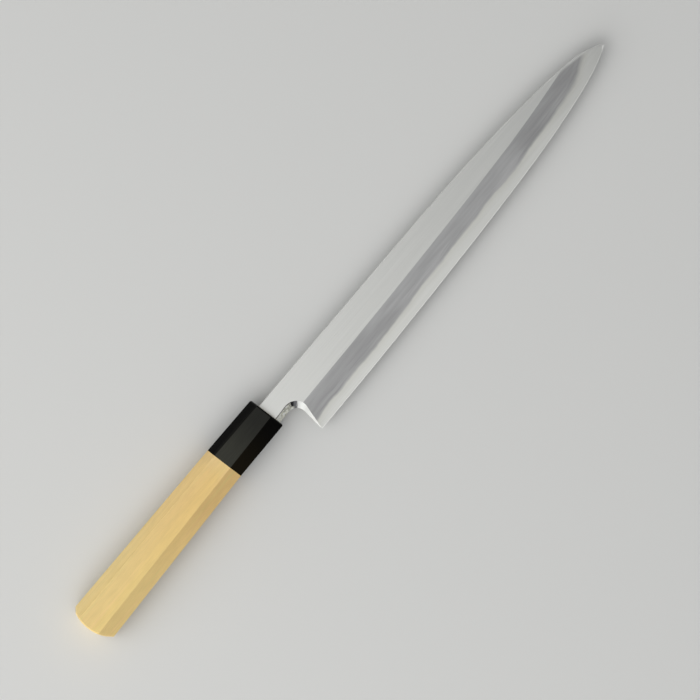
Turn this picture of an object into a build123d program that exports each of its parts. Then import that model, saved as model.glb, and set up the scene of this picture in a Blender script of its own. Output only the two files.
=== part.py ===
from build123d import *
import os
from math import cos, radians, sin, tan

# A yanagiba, the long single-bevel knife for slicing raw fish, lying with its bevelled side up.
# Millimetres. While it is drawn, x = 0 is the front of the ferrule at the spine and x grows
# towards the tip, y = 0 is the straight part of the spine with the cutting edge on the -y side,
# and z = 0 is the flat back of the blade. The last function moves it to its own origin, on the
# ground under the middle of the whole knife.

# Blade
blade_length = 270.5
heel_height = 33.9
heel_setback = 13.0
spine_thickness = 4.2
tip_taper = 2.2
ridge_fall = 0.3
edge_land = 0.08
spine_easing = 0.35

# Neck and heel: the lower side of the neck and the back of the heel are one slanted cut, which
# leans further out along the heel
neck_height = 14.7
neck_rise_angle = 3.2
neck_slant_angle = 40.0
heel_back_angle = 3.8
heel_slant_angle = 43.5
notch_back_radius = 6.0
notch_flat_radius = 8.4

# Hollow back
hollow_radius = 360.0
hollow_spine_rim = 1.4
hollow_edge_rim = 1.8
hollow_flare = 1.0
hollow_end_share = 1.3

# Hard steel welded to the back of the soft iron
lamina_thickness = 1.2
scarf_setback = 5.0
scarf_length = 7.0

# Tang
tang_length = 102.0
tang_root_height = 9.6
tang_root_thickness = 3.8
tang_end_height = 5.2
tang_end_thickness = 2.4
tang_nose_length = 7.0
tang_nose_height = 2.6
tang_nose_thickness = 2.0

# Handle: height runs from the spine side to the edge side, thickness across the blade, and drop
# is how far its middle lies below the spine
handle_length = 150.8
ferrule_length = 35.7
face_lean_angle = 3.0
front_height = 22.1
front_thickness = 18.6
front_drop = 5.7
joint_height = 22.6
joint_thickness = 19.0
joint_drop = 5.85
butt_height = 26.5
butt_thickness = 21.5
butt_drop = 8.2

# Octagon bevels, as wide as they look from above the blade
front_spine_bevel = 4.65
joint_spine_bevel = 4.7
butt_spine_bevel = 5.6
front_edge_bevel = 8.0
joint_edge_bevel = 7.2
butt_edge_bevel = 7.5
spine_bevel_angle = 45.0
edge_bevel_angle = 35.0
ridge_easing = 0.35

# Butt end, crowned between two corner cuts
crown_spine_fall = 1.8
crown_edge_fall = 2.9
crown_apex_share = 0.36
corner_cut_length = 2.7
corner_cut_spine_width = 2.4
corner_cut_edge_width = 3.5
butt_easing = 0.7

# Ferrule, its tapered bore, and the tenon of the grip that fills it
ferrule_front_easing = 1.1
bore_front_diameter = 14.4
bore_rear_diameter = 16.2
tenon_clearance = 0.05

# Mortise and the seal at its mouth
tang_clearance = 0.1
mortise_spare = 3.0
seal_depth = 4.0
seal_width = 0.8

overrun = 2.0

# Outline of the blade at stations along it. The first number is a share of the blade's length,
# the rest are shares of the heel's height, counted down from the straight part of the spine: the
# spine, the ridge line between flat and bevel, and the cutting edge. Near the tip the ridge line
# has left the blade across the spine, and only guides the bevel.
blade_outline_shares = (
    (0.000, 0.000, 0.504, 1.000),
    (0.190, 0.000, 0.482, 0.987),
    (0.340, 0.000, 0.454, 0.957),
    (0.490, 0.000, 0.418, 0.916),
    (0.640, 0.021, 0.370, 0.861),
    (0.760, 0.066, 0.315, 0.798),
    (0.850, 0.125, 0.247, 0.722),
    (0.910, 0.187, 0.190, 0.649),
    (0.968, 0.301, 0.100, 0.540),
    (1.000, 0.442, 0.004, 0.442),
)
straight_stations = 4
tip_spine_slope = 0.8
past_tip_share = 0.5
behind_shoulder_share = 0.05
easing_fade_share = 0.3
upright_share = 0.95
past_butt_share = 0.05

# Top of the hard steel, which wavers as a forged weld does: a share of the blade's length, and a
# share of the lamina's thickness
lamina_top_shares = (
    (0.070, 1.00),
    (0.100, 1.12),
    (0.130, 1.06),
    (0.165, 1.09),
    (0.230, 0.98),
    (0.280, 1.02),
    (0.325, 0.98),
    (0.380, 1.11),
    (0.450, 1.03),
    (0.490, 1.07),
    (0.550, 0.97),
    (0.620, 0.94),
    (0.675, 0.81),
    (0.750, 0.79),
    (0.820, 0.73),
    (0.870, 0.69),
    (0.908, 0.75),
    (0.938, 0.96),
    (0.960, 1.12),
    (1.000, 1.22),
)

middle_z = spine_thickness / 2
lean = tan(radians(face_lean_angle))


def beyond(before, last, share):
    """The row of numbers that follows two others in a straight line, a share of a step on."""
    return tuple(b + (b - a) * share for a, b in zip(before, last))


def leaning_x(station_x, y):
    """Where the leaning plane that crosses the spine at station_x stands at height y."""
    return station_x - lean * y


def flat_z(x, y):
    """Top of the blade's flat, which thins towards the tip and towards the ridge line."""
    return spine_thickness - tip_taper * x / blade_length + ridge_fall * y / (heel_height / 2)


def blade_stations():
    """The outline's stations in millimetres, each as x, spine y, ridge y and edge y."""
    return [
        (x * blade_length, -spine * heel_height, -ridge * heel_height, -edge * heel_height)
        for x, spine, ridge, edge in blade_outline_shares
    ]


def long_stations():
    """The same stations with one more behind the shoulder and one more past the tip."""
    stations = blade_stations()
    behind = beyond(stations[1], stations[0], behind_shoulder_share)
    past = beyond(stations[-2], stations[-1], past_tip_share)
    return [behind, *stations, past]


def bevel_slope(x, ridge_y, edge_y):
    """Rise of the bevel for each unit of height from the cutting edge to the ridge line."""
    return (flat_z(x, ridge_y) - edge_land) / (ridge_y - edge_y)


def blade_plate():
    """A plate with the true outline of spine, tip and cutting edge, and a shoulder at the back."""
    stations = blade_stations()
    spine = [(x, spine_y) for x, spine_y, ridge_y, edge_y in stations][straight_stations - 1:]
    edge = [(x, edge_y) for x, spine_y, ridge_y, edge_y in stations]
    below_neck = -neck_height - overrun
    straight = Line((0, 0), spine[0])
    belly = Spline(spine, tangents=[(1, 0), (1, -tip_spine_slope)])
    cutting = Spline(edge[::-1])
    shoulder = Polyline(edge[0], (leaning_x(0, below_neck), below_neck), (0, 0))
    return extrude(make_face([straight, belly, cutting, shoulder]), spine_thickness + overrun)


def flat_cutter():
    """All that lies above the flat of the blade."""
    near = -overrun
    far = blade_length + overrun
    high = spine_thickness + overrun * 2
    start = (near, overrun, flat_z(near, overrun))
    end = (far, overrun, flat_z(far, overrun))
    side = make_face(Polyline(start, end, (far, overrun, high), (near, overrun, high), close=True))
    width = heel_height + overrun * 2
    way = Vector(0, -width, flat_z(0, -width) - flat_z(0, 0))
    return extrude(side, way.length, dir=way)


def bevel_cutter():
    """All that lies above the single bevel, a straight slope from the ridge line to the edge."""
    high = spine_thickness + overrun * 4
    sections = []
    for x, spine_y, ridge_y, edge_y in long_stations():
        slope = bevel_slope(x, ridge_y, edge_y)
        low_y = edge_y - overrun
        high_y = ridge_y + overrun
        low = (x, low_y, edge_land - slope * overrun)
        top = (x, high_y, flat_z(x, ridge_y) + slope * overrun)
        sections.append(make_face(Polyline(low, top, (x, high_y, high), (x, low_y, high), close=True)))
    return loft(sections)


def spine_cutters():
    """What comes off the two long corners of the spine, fading out before the tip."""
    upper = []
    lower = []
    for x, spine_y, ridge_y, edge_y in long_stations():
        bevel_z = edge_land + bevel_slope(x, ridge_y, edge_y) * (spine_y - edge_y)
        top_z = min(bevel_z, flat_z(x, spine_y))
        easing = min(spine_easing, (top_z - spine_easing) * easing_fade_share)
        for corners, z, way in ((upper, top_z, 1), (lower, 0, -1)):
            inner = (x, spine_y - easing - overrun, z + way * overrun)
            outer = (x, spine_y + overrun, z - way * (easing + overrun))
            far = (x, spine_y + overrun, z + way * overrun)
            corners.append(make_face(Polyline(inner, outer, far, close=True)))
    return loft(upper), loft(lower)


def notch_section(z):
    """Plan of the finger notch at height z, wider the higher it is, because the cut is slanted."""
    neck_shift = z * tan(radians(neck_slant_angle))
    heel_shift = z * tan(radians(heel_slant_angle))
    rise = radians(neck_rise_angle)
    back = radians(heel_back_angle)
    along_neck = Vector(cos(rise), sin(rise))
    down_heel = Vector(-sin(back), -cos(back))
    into_neck = Vector(-along_neck.Y, along_neck.X)
    into_heel = Vector(-down_heel.Y, down_heel.X)
    neck = Vector(0, -neck_height)
    heel = Vector(heel_setback, -heel_height)
    neck += into_neck * neck_shift
    heel += into_heel * heel_shift
    reach = (heel - neck).cross(down_heel).Z / along_neck.cross(down_heel).Z
    corner = neck + along_neck * reach
    left = corner - along_neck * (reach + overrun * 2)
    low = corner + down_heel * (heel_height + overrun)
    radius = notch_back_radius + (notch_flat_radius - notch_back_radius) * z / spine_thickness
    cut = FilletPolyline(left, corner, low, radius=radius)
    closing = Polyline(low, (left.X, low.Y), left)
    return Pos(0, 0, z) * make_face([cut, closing])


def notch_cutter():
    """The finger notch in front of the heel, from below the back to above the flat."""
    return loft([notch_section(-overrun), notch_section(spine_thickness + overrun)], ruled=True)


def hollow_cutter():
    """The shallow hollow of the back, as a large grinding wheel leaves it, inside a flat rim."""
    stations = blade_stations()[:-1]
    last = len(stations) - 1
    sections = []
    for index, (x, spine_y, ridge_y, edge_y) in enumerate(stations):
        upper = spine_y - hollow_spine_rim
        lower = edge_y + hollow_edge_rim
        middle = (upper + lower) / 2
        half = (upper - lower) / 2
        depth = half ** 2 / (hollow_radius * 2)
        if index == 0 or index == last:
            depth *= 1 - hollow_end_share
        wide = half + hollow_flare
        foot = depth - wide ** 2 / (hollow_radius * 2)
        ends = (x, middle + wide, foot), (x, middle - wide, foot)
        arc = ThreePointArc(ends[0], (x, middle, depth), ends[1])
        sections.append(make_face([arc, Line(ends[1], ends[0])]))
    return loft(sections)


def hard_steel_space():
    """The space of the hard steel, up to the weld, with a scarf where it ends in the neck."""
    side_y = overrun
    far = blade_length + overrun
    tops = [(x * blade_length, side_y, z * lamina_thickness) for x, z in lamina_top_shares]
    first_z = tops[0][2]
    scarf_top = (scarf_setback + scarf_length, side_y, first_z)
    scarf_foot = (scarf_setback - scarf_length * overrun / first_z, side_y, -overrun)
    weld = Spline([scarf_top] + tops)
    last_z = tops[-1][2]
    closing = Polyline(tops[-1], (far, side_y, last_z), (far, side_y, -overrun), scarf_foot, scarf_top)
    return extrude(make_face([weld, closing]), heel_height + overrun * 2, dir=(0, -1, 0))


def section_plane(station_x, drop):
    """The leaning plane across the handle's axis, x towards the edge side and y upwards."""
    angle = radians(face_lean_angle)
    across = Vector(sin(angle), -cos(angle), 0)
    centre = Vector(leaning_x(station_x, -drop), -drop, middle_z)
    return Plane(origin=centre, x_dir=across, z_dir=across.cross(Vector(0, 0, 1)))


def octagon_corners(station_x, height, thickness, drop, spine_bevel, edge_bevel):
    """The eight corners of one cross-section of the handle."""
    half = height / 2
    deep = thickness / 2
    spine_rise = deep - spine_bevel * tan(radians(spine_bevel_angle))
    edge_rise = deep - edge_bevel * tan(radians(edge_bevel_angle))
    upper = [(-half, spine_rise), (spine_bevel - half, deep), (half - edge_bevel, deep), (half, edge_rise)]
    lower = [(x, -y) for x, y in reversed(upper)]
    plane = section_plane(station_x, drop)
    return [plane.from_local_coords(Vector(x, y, 0)) for x, y in upper + lower]


def octagonal_body(first_row, second_row):
    """The flat-sided body between two cross-sections of the handle."""
    first = octagon_corners(*first_row)
    second = octagon_corners(*second_row)
    outlines = [first, second]
    for side in range(len(first)):
        outlines.append([first[side - 1], first[side], second[side], second[side - 1]])
    return Solid(Shell([Face(Wire.make_polygon(outline)) for outline in outlines]))


def front_row():
    """Sizes of the handle at the front of the ferrule."""
    return 0, front_height, front_thickness, front_drop, front_spine_bevel, front_edge_bevel


def joint_row():
    """Sizes of the handle where ferrule and grip meet."""
    return (-ferrule_length, joint_height, joint_thickness, joint_drop, joint_spine_bevel,
            joint_edge_bevel)


def butt_row():
    """Sizes of the handle at the end of the butt."""
    return -handle_length, butt_height, butt_thickness, butt_drop, butt_spine_bevel, butt_edge_bevel


def ease_ridges(body):
    """Soften the eight long ridges of an octagonal body."""
    ridges = [edge for edge in body.edges() if abs((edge @ 1 - edge @ 0).X) > edge.length * upright_share]
    return fillet(ridges, ridge_easing)


def leaning_slab(front_x, back_x):
    """The space between two leaning planes, wider than the handle."""
    wide = joint_height
    tall = joint_thickness
    corners = [
        (leaning_x(front_x, wide), wide),
        (leaning_x(front_x, -wide), -wide),
        (leaning_x(back_x, -wide), -wide),
        (leaning_x(back_x, wide), wide),
    ]
    return Pos(0, 0, middle_z) * extrude(make_face(Polyline(*corners, close=True)), tall, both=True)


def bore_form(clearance):
    """The tapered round form of the ferrule's bore, less a clearance, running past both ends."""
    front = section_plane(0, front_drop).origin
    joint = section_plane(-ferrule_length, joint_drop).origin
    way = joint - front
    front_radius = bore_front_diameter / 2 - clearance
    rear_radius = bore_rear_diameter / 2 - clearance
    growth = (rear_radius - front_radius) / way.length * overrun
    cone = Cone(
        front_radius - growth,
        rear_radius + growth,
        way.length + overrun * 2,
        align=(Align.CENTER, Align.CENTER, Align.MIN),
    )
    return Plane(origin=front - way.normalized() * overrun, z_dir=way) * cone


def tang_section(x, y, height, thickness):
    """One rectangular cross-section of the tang, square to x."""
    return Plane(origin=(x, y, middle_z), x_dir=(0, -1, 0), z_dir=(-1, 0, 0)) * Rectangle(height, thickness)


def tang_form(clearance, spare):
    """The tang from inside the neck to its nose, with clearance all round and spare length."""
    end_share = (tang_length - ferrule_length) / (handle_length - ferrule_length)
    end_drop = joint_drop + (butt_drop - joint_drop) * end_share
    root = (0, -front_drop, tang_root_height, tang_root_thickness)
    end = (tang_nose_length - tang_length, -end_drop, tang_end_height, tang_end_thickness)
    nose = (-tang_length, -end_drop, tang_nose_height, tang_nose_thickness)
    root = beyond(end, root, overrun / (tang_length - tang_nose_length))
    grown = []
    for (x, y, height, thickness), extra in ((root, 0), (end, spare), (nose, spare)):
        grown.append(tang_section(x - extra, y, height + clearance * 2, thickness + clearance * 2))
    return loft(grown, ruled=True)


def seal_form():
    """The widened mouth of the mortise, from ahead of the front face to its floor."""
    depth = seal_depth + overrun
    centre = section_plane(0, front_drop).origin
    section = tang_section(centre.X - seal_depth, centre.Y, tang_root_height, tang_root_thickness)
    return extrude(offset(section, seal_width, kind=Kind.INTERSECTION), depth, dir=(1, 0, 0))


def blade():
    """The whole laminated blade with its neck, before it is told apart into iron and steel."""
    body = blade_plate() - flat_cutter() - bevel_cutter() - notch_cutter() - hollow_cutter()
    for cutter in spine_cutters():
        body -= cutter
    return body


def blade_edge_steel(whole_blade):
    """The hard steel: the whole back of the blade and the cutting edge."""
    return whole_blade & hard_steel_space()


def blade_iron_body(whole_blade):
    """The soft iron: the flat, the neck and the upper bevel, with the tang."""
    return whole_blade - hard_steel_space() + tang_form(0, 0)


def horn_ferrule():
    """The octagonal horn sleeve with its tapered bore and eased front rim."""
    body = octagonal_body(front_row(), joint_row())
    front_face = body.faces().sort_by(Axis.X)[-1]
    body = ease_ridges(fillet(front_face.edges(), ferrule_front_easing))
    return body - bore_form(0)


def butt_plan():
    """Plan of the grip seen from above the blade, open wide but for the crowned butt."""
    spine_side = butt_height / 2 - butt_drop
    edge_side = -butt_height / 2 - butt_drop
    spine_inner = Vector(crown_spine_fall - handle_length, spine_side - corner_cut_spine_width)
    edge_inner = Vector(crown_edge_fall - handle_length, edge_side + corner_cut_edge_width)
    apex_y = spine_inner.Y + (edge_inner.Y - spine_inner.Y) * crown_apex_share
    crown = ThreePointArc(spine_inner, (-handle_length, apex_y), edge_inner)
    spine_outer = spine_inner + Vector(corner_cut_length, corner_cut_spine_width) * 2
    edge_outer = edge_inner + Vector(corner_cut_length, -corner_cut_edge_width) * 2
    rest = Polyline(edge_inner, edge_outer, (0, edge_outer.Y), (0, spine_outer.Y), spine_outer, spine_inner)
    return make_face([crown, rest])


def handle_grip():
    """The octagonal wooden grip with the tenon for the ferrule and the mortise for the tang."""
    past_butt = beyond(joint_row(), butt_row(), past_butt_share)
    body = octagonal_body(joint_row(), past_butt)
    body &= Pos(0, 0, middle_z) * extrude(butt_plan(), butt_thickness, both=True)
    butt_start = crown_edge_fall + corner_cut_length + overrun - handle_length
    ends = [edge for edge in body.edges() if edge.center().X < butt_start]
    rim = [edge for edge in ends if abs((edge @ 1 - edge @ 0).Z) < edge.length * upright_share]
    body = ease_ridges(chamfer(rim, butt_easing))
    tenon = bore_form(tenon_clearance) & leaning_slab(0, -ferrule_length - overrun / 2)
    return body + tenon - tang_form(tang_clearance, mortise_spare) - seal_form()


def tang_slot_seal():
    """The cast filling between the tang and the mouth of its mortise."""
    return (seal_form() & leaning_slab(0, -seal_depth - overrun)) - tang_form(0, 0)


def build():
    """Make every piece, move the knife to its own origin and write one file for each piece."""
    whole_blade = blade()
    pieces = {
        "blade_iron_body": blade_iron_body(whole_blade),
        "blade_edge_steel": blade_edge_steel(whole_blade),
        "horn_ferrule": horn_ferrule(),
        "handle_grip": handle_grip(),
        "tang_slot_seal": tang_slot_seal(),
    }
    box = Compound(children=[piece.solid() for piece in pieces.values()]).bounding_box()
    middle = box.center()
    os.makedirs("parts", exist_ok=True)
    for name, piece in pieces.items():
        placed = Pos(-middle.X, -middle.Y, -box.min.Z) * piece
        placed.label = name
        export_step(placed, f"parts/{name}.step")
    print("origin moved from", -middle.X, -middle.Y, -box.min.Z, "size", box.size)


build()
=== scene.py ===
"""A yanagiba, the long single-bevel knife for slicing raw fish, dressed for a studio picture.

The knife lies with its bevelled side up: a laminated blade, a sleeve of black horn and an octagonal
grip of pale magnolia wood. Lengths are metres, but the finishes work in millimetres, because their
patterns are that fine.
"""
import logging
import math
from collections.abc import Callable, Sequence
from dataclasses import dataclass, field
from enum import Enum

import bpy
from mathutils import Matrix, Vector


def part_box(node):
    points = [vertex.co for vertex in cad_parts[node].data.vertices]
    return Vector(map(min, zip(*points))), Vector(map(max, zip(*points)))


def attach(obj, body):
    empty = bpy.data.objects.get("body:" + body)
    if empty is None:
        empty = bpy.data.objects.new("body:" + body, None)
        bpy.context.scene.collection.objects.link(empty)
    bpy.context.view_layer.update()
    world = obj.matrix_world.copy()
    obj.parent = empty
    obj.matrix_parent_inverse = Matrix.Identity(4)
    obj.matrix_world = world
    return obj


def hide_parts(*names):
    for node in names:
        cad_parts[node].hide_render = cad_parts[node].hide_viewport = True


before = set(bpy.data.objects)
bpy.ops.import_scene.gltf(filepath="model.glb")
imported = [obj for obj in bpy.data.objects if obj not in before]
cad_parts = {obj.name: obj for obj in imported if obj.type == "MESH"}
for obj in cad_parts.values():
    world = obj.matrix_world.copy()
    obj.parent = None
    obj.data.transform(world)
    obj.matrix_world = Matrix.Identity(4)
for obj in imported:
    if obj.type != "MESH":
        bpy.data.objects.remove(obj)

MM = 0.001
MICRON = MM * MM
PER_METRE = 1000.0
NOISE_MIDDLE = 0.5
BODY = "root"
LOG = logging.getLogger("yanagiba")

Colour = tuple[float, float, float]
Point = tuple[float, float]
Line = Sequence[Point]
Span = tuple[float, float]
Socket = bpy.types.NodeSocket
Value = float | int | Sequence[float] | bpy.types.Material | Socket


class Part(Enum):
    """The knife's separate pieces, by the names of their solids."""

    IRON = "blade_iron_body"
    STEEL = "blade_edge_steel"
    FERRULE = "horn_ferrule"
    GRIP = "handle_grip"
    SEAL = "tang_slot_seal"


class Slot(Enum):
    """The record's material slots, by name."""

    HORN = "horn"


class Tree:
    """Short ways to add nodes to a node tree and join them."""

    def __init__(self, tree: bpy.types.NodeTree) -> None:
        """Keep the tree that the nodes go into."""
        self.tree = tree

    def add(self, kind: str, inputs: dict[str | int, Value] | None = None,
            **settings: object) -> bpy.types.Node:
        """Add a node.

        Args:
            kind: The node's type.
            inputs: What its inputs get, by name or number: a value, or a socket to join.
            settings: The node's own settings.

        Returns:
            The new node.
        """
        node = self.tree.nodes.new(kind)
        for name, setting in settings.items():
            setattr(node, name, setting)
        for key, value in (inputs or {}).items():
            self.feed(node.inputs[key], value)
        return node

    def result(self, kind: str, inputs: dict[str | int, Value] | None = None, **settings: object) -> Socket:
        """Add a node, as add does, and take its first output."""
        return self.add(kind, inputs, **settings).outputs[0]

    def feed(self, socket: Socket, value: Value) -> None:
        """Join a socket to another, or set its value.

        Args:
            socket: The input.
            value: A socket to join it to, or a value; a colour may come without its alpha.
        """
        if isinstance(value, bpy.types.NodeSocket):
            self.tree.links.new(value, socket)
            return
        if socket.type == "RGBA" and len(value) == 3:
            value = (*value, 1.0)
        socket.default_value = value

    def calc(self, operation: str, *values: Value, clamp: bool = False) -> Socket:
        """Work out one number.

        Args:
            operation: The Math node's operation.
            values: Its inputs in order.
            clamp: Whether to keep the result between 0 and 1.

        Returns:
            The result.
        """
        inputs = dict(enumerate(values))
        return self.result("ShaderNodeMath", inputs, operation=operation, use_clamp=clamp)

    def vector(self, operation: str, *values: Value) -> Socket:
        """Work out a vector, or for a product or a length the number.

        Args:
            operation: The Vector Math node's operation.
            values: Its inputs in order.

        Returns:
            The result.
        """
        node = self.add("ShaderNodeVectorMath", dict(enumerate(values)), operation=operation)
        return node.outputs["Value" if operation in ("DOT_PRODUCT", "LENGTH") else "Vector"]

    def scaled(self, vector: Socket, factor: Value) -> Socket:
        """Multiply a vector by a number."""
        return self.result("ShaderNodeVectorMath", {"Vector": vector, "Scale": factor}, operation="SCALE")

    def split(self, vector: Socket) -> tuple[Socket, Socket, Socket]:
        """Take a vector apart into its three numbers."""
        return tuple(self.add("ShaderNodeSeparateXYZ", {0: vector}).outputs)

    def join(self, x: Value, y: Value, z: Value) -> Socket:
        """Make a vector of three numbers."""
        return self.result("ShaderNodeCombineXYZ", {0: x, 1: y, 2: z})

    def step(self, value: Value, low: Value, high: Value) -> Socket:
        """Rise softly from 0 to 1.

        Args:
            value: What is looked at.
            low: Where the rise starts. It may lie above high, and then the result falls with value.
            high: Where the rise ends.

        Returns:
            A number between 0 and 1.
        """
        inputs = {"Value": value, "From Min": low, "From Max": high}
        return self.result("ShaderNodeMapRange", inputs, interpolation_type="SMOOTHSTEP")

    def spread(self, share: Value, low: Value, high: Value) -> Socket:
        """Spread a share between 0 and 1 over the range from low to high."""
        return self.result("ShaderNodeMapRange", {"Value": share, "To Min": low, "To Max": high})

    def mix(self, share: Value, first: Value, second: Value) -> Socket:
        """Blend two numbers.

        Args:
            share: 0 gives the first and 1 the second.
            first: The first number.
            second: The second number.

        Returns:
            The blend.
        """
        return self.result("ShaderNodeMix", {0: share, 2: first, 3: second}, data_type="FLOAT")

    def between(self, share: Value, first: Value, second: Value) -> Socket:
        """Blend two places.

        Args:
            share: 0 gives the first and 1 the second.
            first: The first place.
            second: The second place.

        Returns:
            The place that lies between them.
        """
        return self.add("ShaderNodeMix", {0: share, 4: first, 5: second}, data_type="VECTOR").outputs[1]

    def tint(self, share: Value, first: Value, second: Value, way: str = "MIX") -> Socket:
        """Blend two colours.

        Args:
            share: How much of the second comes in.
            first: The first colour.
            second: The second colour.
            way: The blend type.

        Returns:
            The blended colour.
        """
        inputs = {0: share, 6: first, 7: second}
        return self.add("ShaderNodeMix", inputs, data_type="RGBA", blend_type=way).outputs[2]


@dataclass(frozen=True)
class Grain:
    """A soft noise around one half, drawn out differently along each axis.

    Attributes:
        every: The usual size of a patch along x, y and z, in millimetres.
        detail: How many finer layers it has.
        seed: Moves the pattern, so that no two patterns are alike.
    """

    every: tuple[float, float, float]
    detail: float
    seed: float


class Surface(Tree):
    """The node tree of a material with one Principled shader, and the patterns that finishes share."""

    def __init__(self, name: str) -> None:
        """Make the material.

        Args:
            name: The material's name.
        """
        self.material = bpy.data.materials.new(name)
        self.material.use_nodes = True
        super().__init__(self.material.node_tree)
        self.shader = self.tree.nodes["Principled BSDF"]
        coordinates = self.add("ShaderNodeTexCoord").outputs["Object"]
        self.place = self.vector("MULTIPLY", coordinates, (PER_METRE,) * 3)
        self.normal = self.add("ShaderNodeNewGeometry").outputs["True Normal"]

    def grain(self, grain: Grain, place: Socket | None = None) -> Socket:
        """Add a soft noise.

        Args:
            grain: Its size, detail and seed.
            place: Where it is looked up, in millimetres, if that isn't the place on the piece.

        Returns:
            Noise around one half.
        """
        scale = tuple(1 / size for size in grain.every)
        inputs = {"Vector": place or self.place, "Scale": scale, "Location": (grain.seed,) * 3}
        moved = self.result("ShaderNodeMapping", inputs)
        return self.result("ShaderNodeTexNoise", {"Vector": moved, "Scale": 1.0, "Detail": grain.detail})

    def tinted(self, colour: Value, factor: Value) -> Socket:
        """Multiply a colour by another colour or by a number."""
        return self.tint(1.0, colour, factor, "MULTIPLY")

    def lighter(self, colour: Value, noise: Socket, amount: float) -> Socket:
        """Make a colour lighter and darker with a noise.

        Args:
            colour: The colour.
            noise: Noise around one half.
            amount: The share by which the colour changes as the noise goes from 0 to 1.

        Returns:
            The changed colour.
        """
        return self.tinted(colour, self.spread(noise, 1 - amount / 2, 1 + amount / 2))

    def curve(self, value: Socket, points: Line) -> Socket:
        """Follow a line given by points, which may lie anywhere.

        Args:
            value: Where along the line.
            points: The line's points in order, each as place and height.

        Returns:
            The line's height at the place.
        """
        places = [place for place, height in points]
        heights = [height for place, height in points]
        low, high = min(heights), max(heights)
        start, end = places[0], places[-1]
        share = self.result("ShaderNodeMapRange", {"Value": value, "From Min": start, "From Max": end})
        node = self.add("ShaderNodeFloatCurve", {"Value": share})
        line = node.mapping.curves[0]
        shares = [
            ((place - start) / (end - start), (height - low) / (high - low)) for place, height in points
        ]
        line.points[0].location = shares[0]
        line.points[1].location = shares[-1]
        for along, up in shares[1:-1]:
            line.points.new(along, up)
        node.mapping.update()
        return self.spread(node.outputs[0], low, high)

    def finish(self, colour: Value, roughness: Value, bump: Socket, relief: float) -> None:
        """Join the shader's main inputs.

        Args:
            colour: The base colour.
            roughness: The roughness.
            bump: A height between 0 and 1.
            relief: The relief's full height in metres.
        """
        self.feed(self.shader.inputs["Base Color"], colour)
        self.feed(self.shader.inputs["Roughness"], roughness)
        normal = self.result("ShaderNodeBump", {"Height": bump, "Distance": relief, "Strength": 1.0})
        self.feed(self.shader.inputs["Normal"], normal)


@dataclass(frozen=True)
class Tone:
    """How one region of the blade takes the light."""

    colour: Colour
    roughness: float


@dataclass(frozen=True)
class BladeLines:
    """Where the blade's polish changes, in millimetres: points of four lines as x and y, and a height."""

    weld: Line
    edge: Line
    ridge: Line
    spine: Line
    rim_z: float


class Polish(Surface):
    """The surface of a blade, with regions of polish laid one over the other."""

    HAIRLINES = Grain((70.0, 0.45, 0.5), detail=4.0, seed=3.1)
    STREAKS = Grain((45.0, 1.4, 2.0), detail=2.0, seed=11.7)
    CLOUDS = Grain((24.0, 2.6, 6.0), detail=2.5, seed=7.3)
    GROUND_STREAKS = 0.08

    def __init__(self, name: str, ground: Tone) -> None:
        """Start with one tone all over.

        Args:
            name: The material's name.
            ground: The tone under all others.
        """
        super().__init__(name)
        self.x, self.y, self.z = self.split(self.place)
        self.tilt_x, self.tilt_y, self.tilt_z = self.split(self.normal)
        self.hairlines = self.grain(self.HAIRLINES)
        self.streaks = self.grain(self.STREAKS)
        self.clouds = self.grain(self.CLOUDS)
        self.colour: Value = self.lighter(ground.colour, self.streaks, self.GROUND_STREAKS)
        self.rough: Value = ground.roughness

    def lay(self, share: Socket, colour: Value, roughness: Value) -> None:
        """Lay one region over what is there.

        Args:
            share: 1 where the region is and 0 elsewhere.
            colour: Its colour.
            roughness: Its roughness.
        """
        self.colour = self.tint(share, self.colour, colour)
        self.rough = self.mix(share, self.rough, roughness)


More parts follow.
